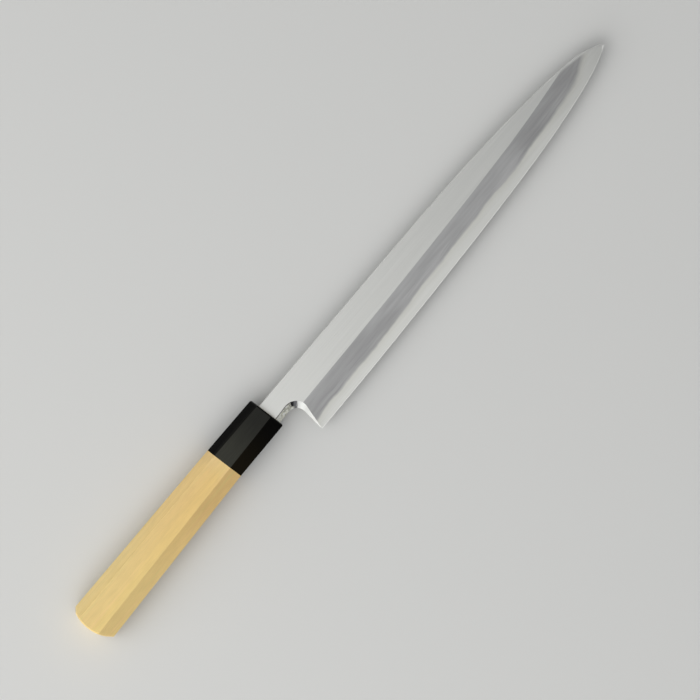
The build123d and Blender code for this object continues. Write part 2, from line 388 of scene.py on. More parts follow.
@dataclass(frozen=True)
class BladeFinish:
    """Polish of a laminated blade: a clear flat, a hazy iron bevel and a bright steel edge.

    Places and widths are millimetres in the knife's own frame. A span gives where a region starts and
    where it is full. Tilts are heights of a face's normal, side tilts how far it faces the spine side,
    and turns how far the notch's facet has turned from the neck towards the heel. Levels change a
    colour along a line, each point a place and a factor. Streaks, clouds, patches and speckles are the
    shares by which such a pattern changes a colour.
    """

    # All over
    hairline_streaks: float = 0.12
    hairline_roughness: float = 0.05
    hairline_relief: float = 0.4 * MICRON

    # Flat, and the iron of the bevel
    flat: Tone = Tone((0.622, 0.624, 0.606), 0.30)
    flat_tilts: Span = (0.9988, 0.9965)
    iron_haze: Tone = Tone((0.370, 0.369, 0.372), 0.46)
    haze_clouds: float = 0.40
    haze_streaks: float = 0.22
    haze_levels: Line = (
        (-45.0, 1.04), (-24.0, 1.00), (0.0, 0.99), (25.0, 1.01), (48.0, 1.08), (72.0, 1.08), (97.0, 1.07),
        (121.0, 1.08), (136.0, 1.02), (146.0, 0.93), (170.0, 0.93), (186.0, 0.88), (198.0, 0.89),
        (210.0, 1.05))
    ridge_levels: Line = (
        (-60.0, 1.10), (-25.0, 1.11), (0.0, 1.03), (24.0, 1.16), (48.0, 1.04), (72.0, 1.00), (150.0, 1.00),
        (190.0, 1.00))
    ridge_fading: Span = (6.0, 2.0)
    ridge_softness: Span = (1.1, 0.0)
    ridge_blend: float = 0.11

    # Weld line, which wavers, with patches drawn out along it
    wave_grain: Grain = Grain((9.0, 30.0, 30.0), detail=2.0, seed=23.0)
    wave_height: float = 0.9
    weld_softness: Line = ((155.0, 0.85), (190.0, 1.80))
    weld_side: Colour = (0.922, 0.918, 0.900)
    weld_fading: Span = (4.6, 0.2)
    patch_grain: Grain = Grain((22.0, 0.9, 1.0), detail=1.0, seed=41.0)
    patch_edges: Span = (0.35, 0.65)
    patch_depth: Span = (0.3, 1.3)
    patch_fading: Span = (-5.0, -2.0)
    weld_patches: float = 0.16

    # Steel of the bevel with a painted highlight along its honed edge, and the iron's rim at the tip
    edge_steel: Tone = Tone((0.678, 0.680, 0.656), 0.40)
    steel_streaks: float = 0.10
    steel_levels: Line = (
        (-45.0, 0.98), (0.0, 1.03), (50.0, 1.01), (97.0, 0.98), (121.0, 0.96), (145.0, 0.97), (170.0, 0.94),
        (186.0, 0.93), (210.0, 0.91))
    # Painted highlight: the honed edge lighter than the steel
    honed_edge: Colour = (0.900, 0.900, 0.875)
    edge_width: Span = (0.42, 0.12)
    tip_rim: Colour = (0.600, 0.600, 0.584)
    tip_rim_width: Span = (1.9, 0.1)
    tip_rim_x: Span = (178.0, 190.0)

    # Back
    hollow: Tone = Tone((0.560, 0.565, 0.560), 0.38)
    hollow_rise: Span = (0.005, 0.035)
    hollow_streaks: float = 0.10
    back_rim: Tone = Tone((0.680, 0.685, 0.675), 0.16)
    back_tilts: Span = (-0.80, -0.90)

    # Finger notch: a painted reflection, a dark spot and a grey band, where the facet turns, and a heel
    # painted near-white as a highlight
    neck_facet: Tone = Tone((0.875, 0.870, 0.785), 0.50)
    speckle_grain: Grain = Grain((1.9, 1.3, 1.3), detail=3.0, seed=31.0)
    speckle_edges: Span = (0.32, 0.68)
    neck_speckles: float = 0.70
    facet_tilts: Span = (0.90, 0.84)
    facet_floor_tilts: Span = (0.45, 0.55)
    facet_top: Span = (4.0, 3.0)
    facet_border: Colour = (0.250, 0.250, 0.240)
    border_z: Span = (11.95, 12.25)
    # Painted reflection: a dark spot where the polished curve turns
    dark_spot: Colour = (0.026, 0.026, 0.030)
    spot_turns: Span = (0.22, 0.28)
    spot_z: Span = (9.5, 10.3)
    # Painted reflection: a grey band further round the curve
    grey_band: Colour = (0.215, 0.215, 0.228)
    band_turns: Span = (0.37, 0.44)
    # Painted highlight: the heel's curve and facet are nearly white
    heel_curve: Colour = (0.790, 0.795, 0.775)
    heel_facet: Tone = Tone((0.985, 0.985, 0.960), 0.45)
    heel_turns: Span = (0.515, 0.550)
    facet_turns: Span = (0.68, 0.80)

    # Eased rim between flat and spine, painted near-white as a highlight
    spine_easing: Tone = Tone((0.960, 0.960, 0.940), 0.62)
    easing_low_tilts: Span = (0.55, 0.62)
    easing_high_tilts: Span = (0.86, 0.80)
    easing_side_tilts: Span = (0.3, 0.4)

    def iron(self, polish: Polish, below: Socket) -> Socket:
        """Colour the hazy iron, with patches drawn out along the weld line.

        Args:
            polish: The blade's surface.
            below: How far a place is below the weld line.

        Returns:
            The colour.
        """
        haze = polish.tinted(self.iron_haze.colour, polish.curve(polish.x, self.haze_levels))
        haze = polish.lighter(haze, polish.clouds, self.haze_clouds)
        haze = polish.lighter(haze, polish.streaks, self.haze_streaks)
        along = polish.join(polish.x, below, 0.0)
        patches = polish.step(polish.grain(self.patch_grain, along), *self.patch_edges)
        near = polish.step(below, *self.patch_fading)
        faded = polish.mix(near, NOISE_MIDDLE, polish.spread(patches, *self.patch_depth))
        return polish.lighter(haze, faded, self.weld_patches)

    def steel(self, polish: Polish, below: Socket, edge: Line) -> Socket:
        """Colour the bright steel, a little darker at the weld line, with a painted highlight along the
        honed edge.

        Args:
            polish: The blade's surface.
            below: How far a place is below the weld line.
            edge: Points of the cutting edge.

        Returns:
            The colour.
        """
        bright = polish.tinted(self.edge_steel.colour, polish.curve(polish.x, self.steel_levels))
        bright = polish.lighter(bright, polish.streaks, self.steel_streaks)
        near = polish.step(below, *self.weld_fading)
        bright = polish.tint(near, bright, polish.tinted(bright, self.weld_side))
        # Painted highlight along the honed edge
        above_edge = polish.calc("SUBTRACT", polish.y, polish.curve(polish.x, edge))
        return polish.tint(polish.step(above_edge, *self.edge_width), bright, self.honed_edge)

    def bevel(self, polish: Polish, lines: BladeLines) -> None:
        """Lay the bevel, iron above the wavering weld line and steel below it.

        Args:
            polish: The blade's surface.
            lines: The blade's lines.
        """
        waves = polish.spread(polish.grain(self.wave_grain), -self.wave_height, self.wave_height)
        line = polish.calc("ADD", polish.curve(polish.x, lines.weld), waves)
        below = polish.calc("SUBTRACT", line, polish.y)
        soft = polish.curve(polish.x, self.weld_softness)
        share = polish.step(below, polish.calc("MULTIPLY", soft, -1.0), soft)
        under_ridge = polish.calc("SUBTRACT", polish.curve(polish.x, lines.ridge), polish.y)
        near_ridge = polish.mix(polish.step(under_ridge, *self.ridge_fading), 1.0,
                                polish.curve(polish.x, self.ridge_levels))
        iron = polish.tinted(self.iron(polish, below), near_ridge)
        at_ridge = polish.calc("MULTIPLY", polish.step(under_ridge, *self.ridge_softness), self.ridge_blend)
        iron = polish.tint(at_ridge, iron, self.flat.colour)
        colour = polish.tint(share, iron, self.steel(polish, below, lines.edge))
        under_spine = polish.calc("SUBTRACT", polish.curve(polish.x, lines.spine), polish.y)
        rim = polish.calc("MULTIPLY", polish.step(under_spine, *self.tip_rim_width),
                          polish.step(polish.x, *self.tip_rim_x))
        colour = polish.tint(rim, colour, self.tip_rim)
        rough = polish.mix(share, self.iron_haze.roughness, self.edge_steel.roughness)
        polish.lay(polish.step(polish.tilt_z, *self.flat_tilts), colour, rough)

    def back(self, polish: Polish, rim_z: float) -> None:
        """Lay the satin hollow of the back and its bright flat rim.

        Args:
            polish: The blade's surface.
            rim_z: Height of the rim.
        """
        start, full = self.hollow_rise
        hollow = polish.step(polish.z, rim_z + start, rim_z + full)
        satin = polish.lighter(self.hollow.colour, polish.streaks, self.hollow_streaks)
        colour = polish.tint(hollow, self.back_rim.colour, satin)
        rough = polish.mix(hollow, self.back_rim.roughness, self.hollow.roughness)
        polish.lay(polish.step(polish.tilt_z, *self.back_tilts), colour, rough)

    def notch(self, polish: Polish) -> None:
        """Lay the finger notch's facet, which turns from the neck round the curve and down the heel. A
        painted dark reflection spot and a painted grey reflection band lie where it turns, and the heel is
        painted near-white as a highlight.

        Args:
            polish: The blade's surface.
        """
        steep = polish.calc("MULTIPLY", polish.step(polish.tilt_z, *self.facet_tilts),
                            polish.step(polish.tilt_z, *self.facet_floor_tilts))
        low = polish.step(polish.y, *self.facet_top)
        turn = polish.calc("MULTIPLY", polish.tilt_x, -1.0)
        speckles = polish.step(polish.grain(self.speckle_grain), *self.speckle_edges)
        colour = polish.lighter(self.neck_facet.colour, speckles, self.neck_speckles)
        colour = polish.tint(polish.step(polish.z, *self.border_z), colour, self.facet_border)
        # Painted reflection: the dark spot and the grey band on the turning curve
        spot = polish.calc("MULTIPLY", polish.step(turn, *self.spot_turns),
                           polish.step(polish.z, *self.spot_z))
        colour = polish.tint(spot, colour, self.dark_spot)
        colour = polish.tint(polish.step(turn, *self.band_turns), colour, self.grey_band)
        # Painted highlight: the heel's curve and facet near-white
        heel = polish.step(turn, *self.heel_turns)
        white = polish.tint(polish.step(turn, *self.facet_turns), self.heel_curve, self.heel_facet.colour)
        colour = polish.tint(heel, colour, white)
        rough = polish.mix(heel, self.neck_facet.roughness, self.heel_facet.roughness)
        polish.lay(polish.calc("MULTIPLY", steep, low), colour, rough)

    def spine(self, polish: Polish) -> None:
        """Lay the eased rim between the flat and the spine, painted near-white as a highlight.

        Args:
            polish: The blade's surface.
        """
        eased = polish.calc("MULTIPLY", polish.step(polish.tilt_z, *self.easing_low_tilts),
                            polish.step(polish.tilt_z, *self.easing_high_tilts))
        eased = polish.calc("MULTIPLY", eased, polish.step(polish.tilt_y, *self.easing_side_tilts))
        polish.lay(eased, self.spine_easing.colour, self.spine_easing.roughness)

    def material(self, name: str, lines: BladeLines) -> bpy.types.Material:
        """Make the material for one layer of the blade.

        Args:
            name: The material's name.
            lines: The blade's lines.

        Returns:
            The material.
        """
        polish = Polish(name, self.flat)
        self.bevel(polish, lines)
        self.back(polish, lines.rim_z)
        self.notch(polish)
        self.spine(polish)
        uneven = polish.spread(polish.hairlines, -self.hairline_roughness, self.hairline_roughness)
        rough = polish.calc("ADD", polish.rough, uneven)
        colour = polish.lighter(polish.colour, polish.hairlines, self.hairline_streaks)
        polish.shader.inputs["Metallic"].default_value = 1.0
        polish.finish(colour, rough, polish.hairlines, self.hairline_relief)
        return polish.material


@dataclass(frozen=True)
class HornFinish:
    """Polished black horn, a little browner towards the grip, with faint streaks, and a painted sheen on its
    faces that look up, lighter towards the grip.

    Places are millimetres in the knife's own frame, tilts are heights of a face's normal, and side
    tilts are how far it faces the spine side.
    """

    dark: Colour = (0.0012, 0.0011, 0.0008)
    # Painted sheen on the faces that look up, lighter towards the grip
    brown: Colour = (0.0080, 0.0059, 0.0026)
    mid: Colour = (0.0190, 0.0191, 0.0165)
    pale: Colour = (0.0328, 0.0330, 0.0260)
    pale_x: Span = (-62.0, -94.0)
    main_tilts: Span = (0.88, 0.96)
    brown_side_tilts: Span = (-0.1, -0.4)
    middle_z: float = 10.75
    side_fading: Span = (7.6, 9.5)
    side_tilts: Span = (0.1, 0.3)
    side_share: float = 0.28
    layer_grain: Grain = Grain((30.0, 1.6, 2.4), detail=3.0, seed=5.2)
    layer_shift: float = 0.35
    fine_grain: Grain = Grain((9.0, 0.25, 0.25), detail=2.0, seed=17.5)
    fine_streaks: float = 0.5
    roughness: Span = (0.18, 0.28)
    specular_level: float = 0.11
    relief: float = 6.0 * MICRON

    def material(self, name: str) -> bpy.types.Material:
        """Make the horn's material.

        Args:
            name: The material's name.

        Returns:
            The material.
        """
        surface = Surface(name)
        x, y, z = surface.split(surface.place)
        layers = surface.grain(self.layer_grain)
        fine = surface.grain(self.fine_grain)
        rise = surface.step(x, *self.pale_x)
        shift = surface.spread(layers, -self.layer_shift, self.layer_shift)
        share = surface.calc("ADD", rise, shift, clamp=True)
        tilt_x, tilt_y, tilt_z = surface.split(surface.normal)
        away = surface.calc("ABSOLUTE", surface.calc("SUBTRACT", z, self.middle_z))
        fade = surface.calc("MULTIPLY", surface.step(away, *self.side_fading),
                            surface.step(tilt_y, *self.side_tilts))
        # Painted sheen: faces that look up, and in part the spine side's bevel away from the middle, are
        # lighter than the black horn
        main = surface.step(surface.calc("ABSOLUTE", tilt_z), *self.main_tilts)
        painted_sheen_share = surface.calc("MAXIMUM", main, surface.calc("MULTIPLY", fade, self.side_share))
        brown = surface.calc("MULTIPLY", rise, surface.step(tilt_y, *self.brown_side_tilts))
        deep = surface.tint(brown, self.dark, self.brown)
        colour = surface.tint(painted_sheen_share, deep, surface.tint(share, self.mid, self.pale))
        colour = surface.lighter(colour, fine, self.fine_streaks)
        surface.shader.inputs["Specular IOR Level"].default_value = self.specular_level
        surface.finish(colour, surface.spread(fine, *self.roughness), layers, self.relief)
        return surface.material


@dataclass(frozen=True)
class WoodFinish:
    """Bare magnolia wood with fine straight grain along the grip.

    Places are millimetres in the knife's own frame. The growth rings run round a pith that lies
    outside the grip. Each colour for a region is a factor on the wood's colour in that region of the
    grip. The front's is painted shade towards the ferrule, the joint's a painted highlight along the
    joint, and that of the edge bevel near the front a painted shadow. Levels are factors across its
    two upper ridges: painted light and shade across them.
    """

    # Wood as it grew
    early: Colour = (0.778, 0.570, 0.233)
    late: Colour = (0.684, 0.480, 0.182)
    late_turns: Span = (0.45, 1.0)
    late_share: float = 0.12
    pith_y: float = 52.0
    pith_z: float = -38.0
    ring_width: float = 1.7
    wander_grain: Grain = Grain((90.0, 9.0, 9.0), detail=2.0, seed=2.4)
    ring_wander: float = 1.2
    band_grain: Grain = Grain((160.0, 2.2, 2.2), detail=2.0, seed=13.9)
    pink: Colour = (0.806, 0.566, 0.256)
    pink_bands: Span = (0.56, 0.74)
    pink_share: float = 0.7
    green: Colour = (0.752, 0.592, 0.239)
    green_bands: Span = (0.44, 0.28)
    figure_grain: Grain = Grain((9.0, 1.8, 1.8), detail=2.0, seed=27.1)
    figure_edges: Span = (0.30, 0.70)
    figure_mottling: float = 0.05
    fibre_grain: Grain = Grain((26.0, 0.22, 0.22), detail=3.0, seed=9.1)
    fibre_streaks: float = 0.18
    pore_grain: Grain = Grain((5.0, 0.10, 0.10), detail=1.0, seed=19.3)
    pore_edges: Span = (0.70, 0.62)
    pore_streaks: float = 0.08
    pore_share: float = 0.5

    # Regions of the grip, some of them painted light and shade
    # Painted shade: the grip darker and warmer towards the ferrule
    front: Colour = (0.980, 0.925, 0.900)
    # Painted highlight along the joint with the ferrule
    joint: Colour = (1.000, 1.030, 1.120)
    joint_spine: Colour = (0.930, 0.935, 0.990)
    spine: Colour = (1.060, 1.100, 1.180)
    edge_side: Colour = (1.035, 1.040, 0.960)
    # Painted shadow on the edge bevel near the ferrule
    edge_front: Colour = (0.925, 0.915, 0.915)
    spine_y: Span = (12.5, 17.0)
    front_x: Span = (-185.0, -115.0)
    joint_x: Span = (-106.0, -97.0)
    edge_side_width: Span = (9.0, 2.0)
    edge_front_x: Span = (-146.0, -116.0)
    spine_ridge: Line = ((-210.7, 13.68), (-95.5, 14.98))
    edge_ridge: Line = ((-210.7, 0.28), (-95.5, 4.28))
    ridge_softness: float = 0.3
    # Painted light and shade across the two upper ridges
    spine_levels: Line = ((-3.0, 1.00), (-0.5, 0.99), (0.4, 1.045), (1.2, 1.03), (3.0, 1.00))
    edge_levels: Line = ((-7.5, 1.04), (-5.5, 1.01), (-2.0, 0.98), (0.5, 1.00))
    roughness: Span = (0.44, 0.60)
    relief: float = 25.0 * MICRON

    def timber(self, surface: Surface) -> tuple[Socket, Socket]:
        """Colour the wood as it grew, with rings, bands, fibres and pores.

        Args:
            surface: The wood's surface.

        Returns:
            The colour, and a height for its relief.
        """
        x, y, z = surface.split(surface.place)
        wander = surface.grain(self.wander_grain)
        off_y = surface.calc("SUBTRACT", y, self.pith_y)
        off_z = surface.calc("SUBTRACT", z, self.pith_z)
        radius = surface.vector("LENGTH", surface.join(0.0, off_y, off_z))
        turns = surface.calc("DIVIDE", radius, self.ring_width)
        phase = surface.calc("ADD", turns, surface.spread(wander, -self.ring_wander, self.ring_wander))
        late = surface.step(surface.calc("PINGPONG", phase, 1.0), *self.late_turns)
        fibres = surface.grain(self.fibre_grain)
        bands = surface.grain(self.band_grain)
        figure = surface.step(surface.grain(self.figure_grain), *self.figure_edges)
        pores = surface.step(surface.grain(self.pore_grain), *self.pore_edges)
        colour = surface.tint(surface.calc("MULTIPLY", late, self.late_share), self.early, self.late)
        pink = surface.calc("MULTIPLY", surface.step(bands, *self.pink_bands), self.pink_share)
        colour = surface.tint(pink, colour, self.pink)
        colour = surface.tint(surface.step(bands, *self.green_bands), colour, self.green)
        colour = surface.lighter(colour, figure, self.figure_mottling)
        colour = surface.lighter(colour, fibres, self.fibre_streaks)
        colour = surface.lighter(colour, pores, self.pore_streaks)
        return colour, surface.mix(self.pore_share, fibres, pores)

    def material(self, name: str) -> bpy.types.Material:
        """Make the wood's material.

        Args:
            name: The material's name.

        Returns:
            The material.
        """
        surface = Surface(name)
        x, y, z = surface.split(surface.place)
        colour, relief = self.timber(surface)
        past_spine = surface.calc("SUBTRACT", y, surface.curve(x, self.spine_ridge))
        past_edge = surface.calc("SUBTRACT", y, surface.curve(x, self.edge_ridge))
        on_spine = surface.step(past_spine, -self.ridge_softness, self.ridge_softness)
        on_edge = surface.step(past_edge, self.ridge_softness, -self.ridge_softness)
        near_joint = surface.step(x, *self.joint_x)
        on_main = surface.calc("SUBTRACT", surface.calc("SUBTRACT", 1.0, on_spine), on_edge)
        off_edge = surface.calc("SUBTRACT", 1.0, on_edge)
        edge_side = surface.calc("MULTIPLY", surface.step(past_edge, *self.edge_side_width), off_edge)
        # Factors by region; the front's is painted shade, the joint's a painted highlight, the edge bevel's
        # near the front a painted shadow
        regions = (
            (surface.step(y, *self.spine_y), self.spine),
            (surface.step(x, *self.front_x), self.front),
            (surface.calc("MULTIPLY", near_joint, on_main), self.joint),
            (surface.calc("MULTIPLY", near_joint, on_spine), self.joint_spine),
            (edge_side, self.edge_side),
            (surface.calc("MULTIPLY", surface.step(x, *self.edge_front_x), on_edge), self.edge_front),
        )
        for share, factor in regions:
            colour = surface.tint(share, colour, surface.tinted(colour, factor))
        # Painted light and shade across the two upper ridges
        colour = surface.tinted(colour, surface.curve(past_spine, self.spine_levels))
        colour = surface.tinted(colour, surface.curve(past_edge, self.edge_levels))
        surface.finish(colour, surface.spread(relief, *self.roughness), relief, self.relief)
        return surface.material


@dataclass(frozen=True)
class ResinFinish:
    """The matt filling round the tang."""

    colour: Colour = (0.022, 0.016, 0.010)
    lump_grain: Grain = Grain((0.6, 0.6, 0.6), detail=3.0, seed=4.0)
    lump_mottling: float = 0.3
    roughness: Span = (0.60, 0.80)
    relief: float = 0.05 * MM

    def material(self, name: str) -> bpy.types.Material:
        """Make the filling's material.

        Args:
            name: The material's name.

        Returns:
            The material.
        """
        surface = Surface(name)
        lumps = surface.grain(self.lump_grain)
        colour = surface.lighter(self.colour, lumps, self.lump_mottling)
        surface.finish(colour, surface.spread(lumps, *self.roughness), lumps, self.relief)
        return surface.material


@dataclass
class Blade:
    """The laminated blade: soft iron forge-welded to hard steel, with the tang in the handle.

    Tilts are heights of a face's normal, by which its flat, bevel, edge and spine are told apart.
    """

    finish: BladeFinish = field(default_factory=BladeFinish)
    bevel_tilts: Span = (0.90, 0.9985)
    edge_tilt: float = 0.3
    spine_tilt: float = 0.85
    spine_facing: float = 0.3
    past_tip: float = 3.0
    corner_digits: int = 2

    def border(self, part: Part, beyond: Callable[[Vector], bool]) -> list[Point]:
        """Find where the faces of the bevel meet other faces.

        Args:
            part: The layer whose faces are looked at.
            beyond: Tells by its normal whether a face is one of the others.

        Returns:
            Points of the border in order of x, in millimetres, each as x and y.
        """
        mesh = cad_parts[part.value].data
        bevel: set[tuple[float, ...]] = set()
        others: set[tuple[float, ...]] = set()
        for face in mesh.polygons:
            corners = {
                tuple(round(place * PER_METRE, self.corner_digits) for place in mesh.vertices[corner].co)
                for corner in face.vertices
            }
            if beyond(face.normal):
                others |= corners
            elif self.bevel_tilts[0] < face.normal.z < self.bevel_tilts[1]:
                bevel |= corners
        return sorted((x, y) for x, y, _ in bevel & others)

    def lines(self) -> BladeLines:
        """Read the lines of the polish off the two layers.

        Returns:
            The weld line and the edge from the heel on, the ridge and the spine, and the back's height.
        """
        low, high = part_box(Part.STEEL.value)
        past_tip = (high.x * PER_METRE, high.y * PER_METRE + self.past_tip)
        weld = from_heel(self.border(Part.IRON, lambda normal: normal.z < 0.0))
        edge = from_heel(self.border(Part.STEEL, lambda normal: normal.z < self.edge_tilt))
        ridge = self.border(Part.IRON, lambda normal: normal.z > self.bevel_tilts[1])

        def on_spine(normal: Vector) -> bool:
            """Tell whether a face belongs to the spine or its eased rim."""
            return normal.y > self.spine_facing and normal.z < self.spine_tilt

        spine = sorted(self.border(Part.IRON, on_spine) + self.border(Part.STEEL, on_spine))
        return BladeLines([*weld, past_tip], edge, ridge, spine, low.z * PER_METRE)

    def dress(self) -> None:
        """Give both layers of the blade their polish."""
        lines = self.lines()
        LOG.info("weld line of %d points, edge of %d", len(lines.weld), len(lines.edge))
        paint(Part.IRON, self.finish.material("soft_iron_polish", lines))
        paint(Part.STEEL, self.finish.material("edge_steel_polish", lines))


@dataclass(frozen=True)
class Section:
    """One eight-sided section of the handle, with its bevels as wide as they look from above.

    Height runs from the spine side to the edge side, and drop is how far its middle lies below the
    spine.
    """

    NAMES = ("Height", "Thickness", "Spine Bevel", "Edge Bevel")

    height: float
    thickness: float
    spine_bevel: float
    edge_bevel: float
    drop: float

    def inputs(self, end: str) -> dict[str, float]:
        """Give the sizes by the names of the node tree's inputs for one end."""
        sizes = (self.height, self.thickness, self.spine_bevel, self.edge_bevel)
        return {f"{end} {name}": size for name, size in zip(self.NAMES, sizes)}


@dataclass
class Ferrule:
    """The octagonal horn sleeve, lofted between its front and the joint with the grip."""

    blade_length: float = 270.5 * MM
    blade_thickness: float = 4.2 * MM
    length: float = 35.7 * MM
    lean: float = math.radians(3.0)
    front: Section = Section(
        height=22.1 * MM, thickness=18.6 * MM, spine_bevel=4.65 * MM, edge_bevel=8.0 * MM, drop=5.7 * MM)
    joint: Section = Section(
        height=22.6 * MM, thickness=19.0 * MM, spine_bevel=4.7 * MM, edge_bevel=7.2 * MM, drop=5.85 * MM)
    spine_bevel_angle: float = math.radians(45.0)
    edge_bevel_angle: float = math.radians(35.0)
    ridge_easing: float = 0.35 * MM
    front_easing: float = 1.1 * MM
    front_ridge_easing: float = 0.08 * MM
    front_bore_diameter: float = 14.4 * MM
    rear_bore_diameter: float = 16.2 * MM
    sides: int = 8
    ridge_steps: int = 4
    flat_cuts: int = 5
    rim_steps: int = 6
    merging: float = 0.002 * MM
    smooth_angle: float = math.radians(25.0)
    finish: HornFinish = field(default_factory=HornFinish)

    def section_group(self) -> bpy.types.NodeTree:
        """Make the node group that draws one eight-sided section.

        The section lies in its own plane, x towards the edge side and y up. Its corners follow from
        height, thickness and bevels, drawn in by an inset and then rounded.

        Returns:
            The node group.
        """
        group = bpy.data.node_groups.new("octagon_section", "GeometryNodeTree")
        for name in (*Section.NAMES, "Inset", "Easing"):
            group.interface.new_socket(name, in_out="INPUT", socket_type="NodeSocketFloat")
        group.interface.new_socket("Curve", in_out="OUTPUT", socket_type="NodeSocketGeometry")
        tree = Tree(group)
        sizes = tree.add("NodeGroupInput").outputs
        half = tree.calc("DIVIDE", sizes["Height"], 2.0)
        deep = tree.calc("DIVIDE", sizes["Thickness"], 2.0)
        spine_drop = tree.calc("MULTIPLY", sizes["Spine Bevel"], math.tan(self.spine_bevel_angle))
        edge_drop = tree.calc("MULTIPLY", sizes["Edge Bevel"], math.tan(self.edge_bevel_angle))
        across = (
            tree.calc("MULTIPLY", half, -1.0),
            tree.calc("SUBTRACT", sizes["Spine Bevel"], half),
            tree.calc("SUBTRACT", half, sizes["Edge Bevel"]),
            half,
        )
        up = (tree.calc("SUBTRACT", deep, spine_drop), deep, deep, tree.calc("SUBTRACT", deep, edge_drop))
        corners = [tree.join(x, y, 0.0) for x, y in zip(across, up)]
        corners += [tree.vector("MULTIPLY", corner, (1.0, -1.0, 1.0)) for corner in reversed(corners)]
        index = tree.result("GeometryNodeInputIndex")
        ring = tree.result("GeometryNodeMeshCircle", {"Vertices": self.sides}, fill_type="NONE")
        choice = tree.add("GeometryNodeIndexSwitch", data_type="VECTOR")
        while len(choice.index_switch_items) < self.sides:
            choice.index_switch_items.new()
        tree.feed(choice.inputs["Index"], index)
        for number, corner in enumerate(corners):
            tree.feed(choice.inputs[str(number)], corner)
        sharp = tree.result("GeometryNodeSetPosition", {"Geometry": ring, "Position": choice.outputs[0]})
        place = tree.result("GeometryNodeInputPosition")
        ways = []
        for step in (self.sides - 1, 1):
            other = tree.calc("MODULO", tree.calc("ADD", index, float(step)), float(self.sides))
            neighbour = tree.result("GeometryNodeFieldAtIndex", {"Value": place, "Index": other},
                                    data_type="FLOAT_VECTOR", domain="POINT")
            ways.append(tree.vector("NORMALIZE", tree.vector("SUBTRACT", neighbour, place)))
        sine = tree.vector("LENGTH", tree.vector("CROSS_PRODUCT", *ways))
        inward = tree.scaled(tree.vector("ADD", *ways), tree.calc("DIVIDE", sizes["Inset"], sine))
        drawn_in = tree.result("GeometryNodeSetPosition", {"Geometry": sharp, "Offset": inward})
        line = tree.result("GeometryNodeMeshToCurve", {"Mesh": drawn_in})
        inputs = {"Curve": line, "Count": self.ridge_steps, "Radius": sizes["Easing"], "Limit Radius": True}
        eased = tree.result("GeometryNodeFilletCurve", inputs, mode="POLY")
        cut = tree.result("GeometryNodeSubdivideCurve", {"Curve": eased, "Cuts": self.flat_cuts})
        tree.add("NodeGroupOutput", {"Curve": cut})
        return group

    def wrap(self, tree: Tree, sizes: bpy.types.NodeOutputs, outlines: Sequence[Socket]) -> Socket:
        """Wrap a grid round the sleeve.

        Row 0 is the bore's front. The next rows go over the front face and the rounded rim. The joint
        row is the outside at the joint, the one after it the bore there, and the last row is the
        bore's front again.

        Args:
            tree: The sleeve's node tree.
            sizes: Its inputs.
            outlines: The front's closed line, the same drawn in by the rim, and the joint's.

        Returns:
            The grid in its place, with its ends not yet merged.
        """
        columns = self.sides * (self.ridge_steps + 1) * (self.flat_cuts + 1)
        joint_row = self.rim_steps + 2
        inputs = {"Size X": 1.0, "Size Y": 1.0, "Vertices X": joint_row + 3, "Vertices Y": columns + 1}
        grid = tree.result("GeometryNodeMeshGrid", inputs)
        index = tree.result("GeometryNodeInputIndex")
        row = tree.calc("FLOOR", tree.calc("DIVIDE", tree.calc("ADD", index, 0.5), float(columns + 1)))
        along = tree.calc("SUBTRACT", index, tree.calc("MULTIPLY", row, float(columns + 1)))
        column = tree.calc("MODULO", along, float(columns))
        place = tree.result("GeometryNodeInputPosition")
        front, rim, joint = (
            tree.result("GeometryNodeSampleIndex", {"Geometry": outline, "Value": place, "Index": column},
                        data_type="FLOAT_VECTOR", domain="POINT")
            for outline in outlines
        )
        rim_share = tree.calc("DIVIDE", tree.calc("SUBTRACT", row, 1.0), float(self.rim_steps), clamp=True)
        angle = tree.calc("MULTIPLY", rim_share, math.pi / 2)
        inset = tree.calc("SUBTRACT", 1.0, tree.calc("SINE", angle))
        setback = tree.calc("SUBTRACT", 1.0, tree.calc("COSINE", angle))
        rim_depth = tree.calc("DIVIDE", tree.calc("MULTIPLY", setback, sizes["Rim Easing"]), sizes["Length"])
        at_joint = tree.calc("COMPARE", row, joint_row + 0.5, 0.75)
        home = tree.calc("GREATER_THAN", row, joint_row + 1.5)
        depth = tree.mix(home, tree.mix(at_joint, rim_depth, 1.0), 0.0)
        in_bore = tree.calc("ADD", tree.calc("LESS_THAN", row, 0.5),
                            tree.calc("GREATER_THAN", row, joint_row + 0.5), clamp=True)
        drawn_in = tree.scaled(tree.vector("SUBTRACT", rim, front), inset)
        outside = tree.vector("ADD", tree.between(depth, front, joint), drawn_in)
        radius = tree.calc("DIVIDE", tree.mix(depth, sizes["Front Bore"], sizes["Rear Bore"]), 2.0)
        inside = tree.scaled(tree.vector("NORMALIZE", front), radius)
        local_x, local_y, _ = tree.split(tree.between(in_bore, outside, inside))
        sideways = tree.scaled(sizes["Across"], local_x)
        middle = tree.between(depth, sizes["Front Middle"], sizes["Joint Middle"])
        placed = tree.vector("ADD", tree.vector("ADD", middle, sideways), tree.join(0.0, 0.0, local_y))
        return tree.result("GeometryNodeSetPosition", {"Geometry": grid, "Position": placed})

